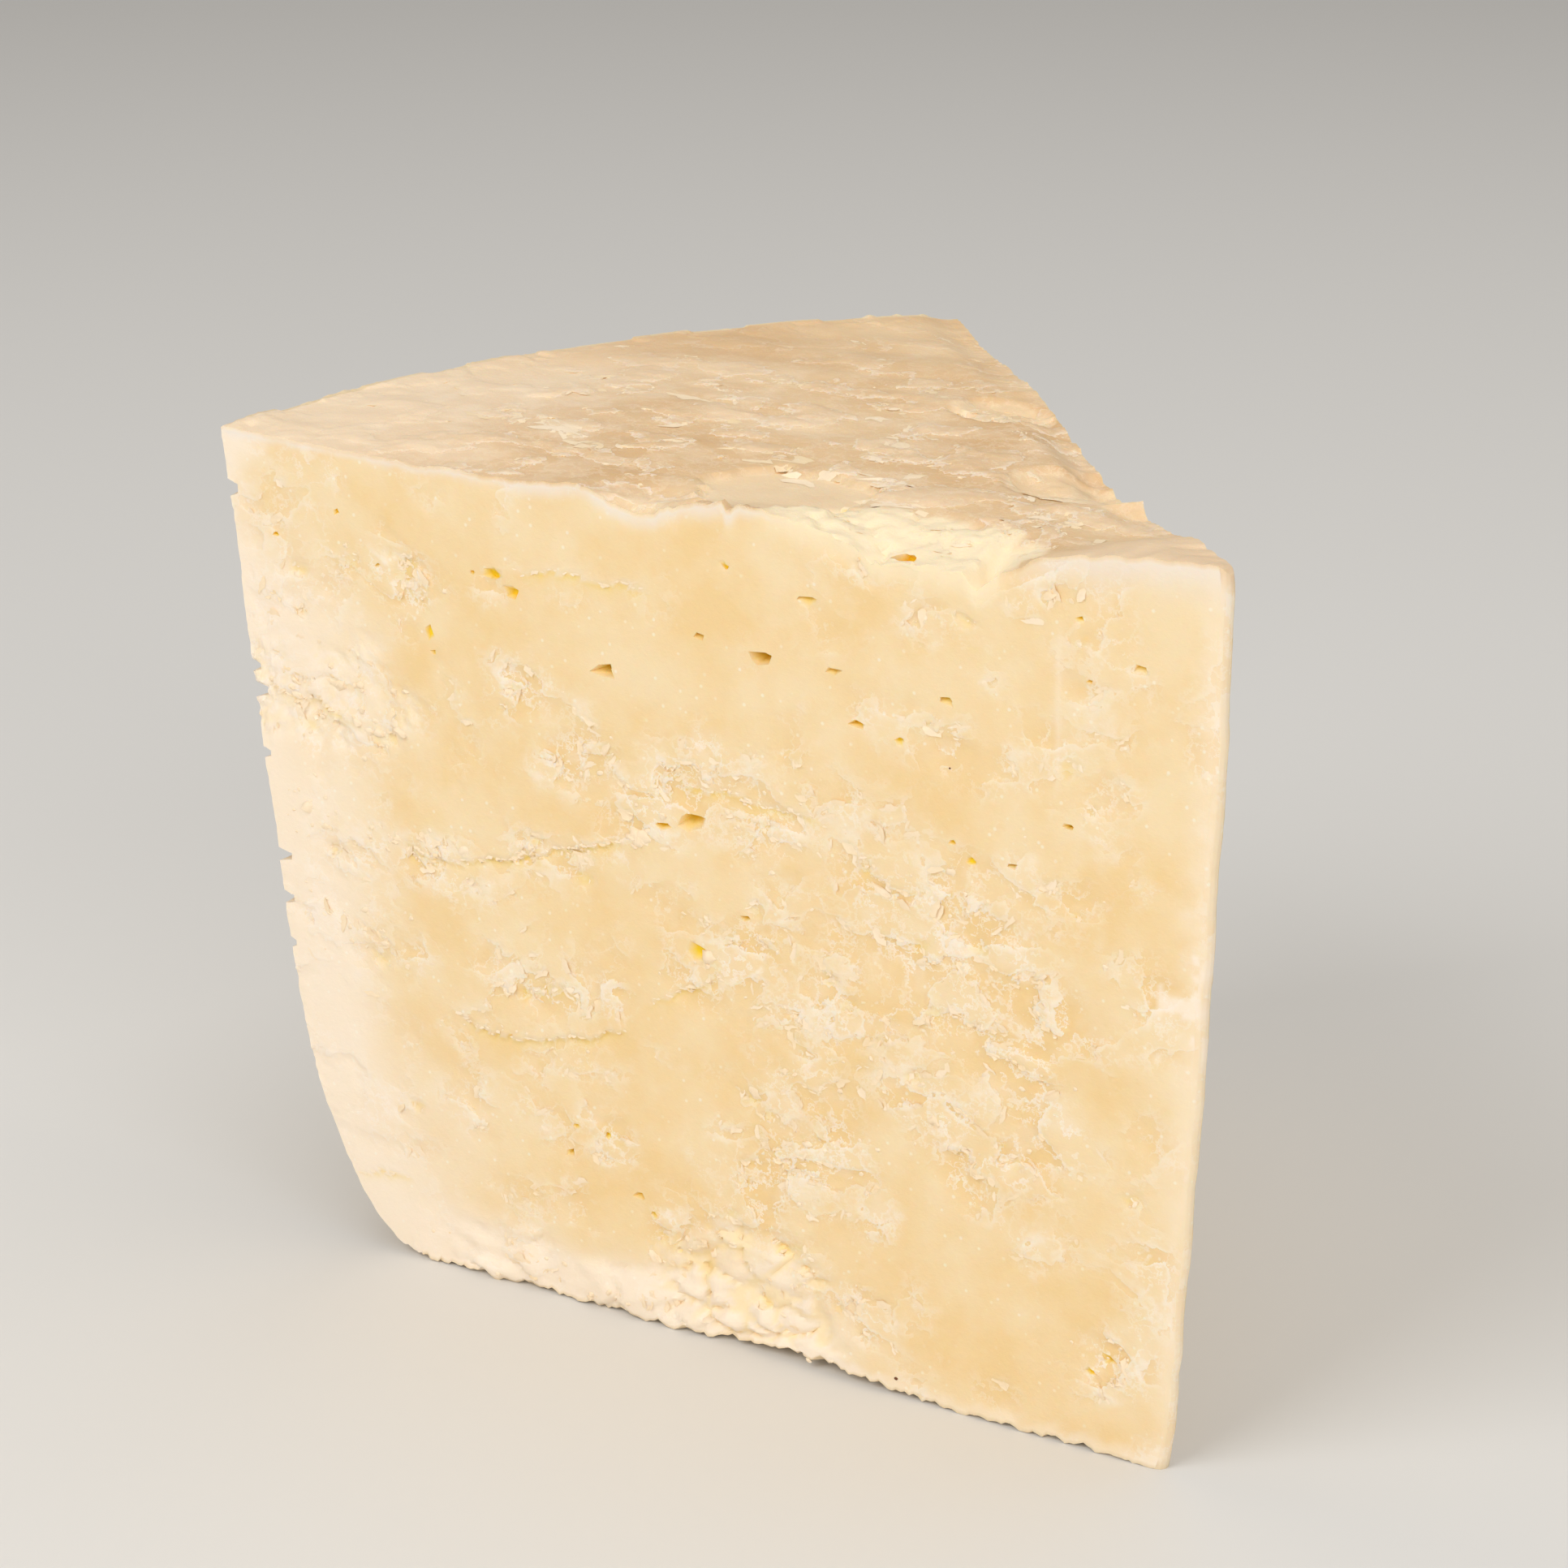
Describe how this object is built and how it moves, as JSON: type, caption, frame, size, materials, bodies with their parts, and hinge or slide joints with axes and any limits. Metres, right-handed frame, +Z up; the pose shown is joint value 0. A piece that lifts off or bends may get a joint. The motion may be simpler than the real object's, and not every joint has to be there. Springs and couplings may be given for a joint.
{
  "type": "hard cheese wedge",
  "caption": "Upright wedge of hard aged cheese cut from a tall drum, with a crumbly front cut, a rough split top and a blunt tip. It stands on its flat foot.",
  "frame": {"origin": "middle of the bounding box at the foot, on the surface it stands on", "axes": "+X from the rind towards the tip along the front cut, +Y from the front cut to the back, +Z up"},
  "size_m": [0.148, 0.1142, 0.1234],
  "materials": {
    "paste": "dry, crumbly, slightly translucent cream paste"
  },
  "bodies": {
    "root": {"cheese_chunk": "paste"}
  },
  "joints": []
}
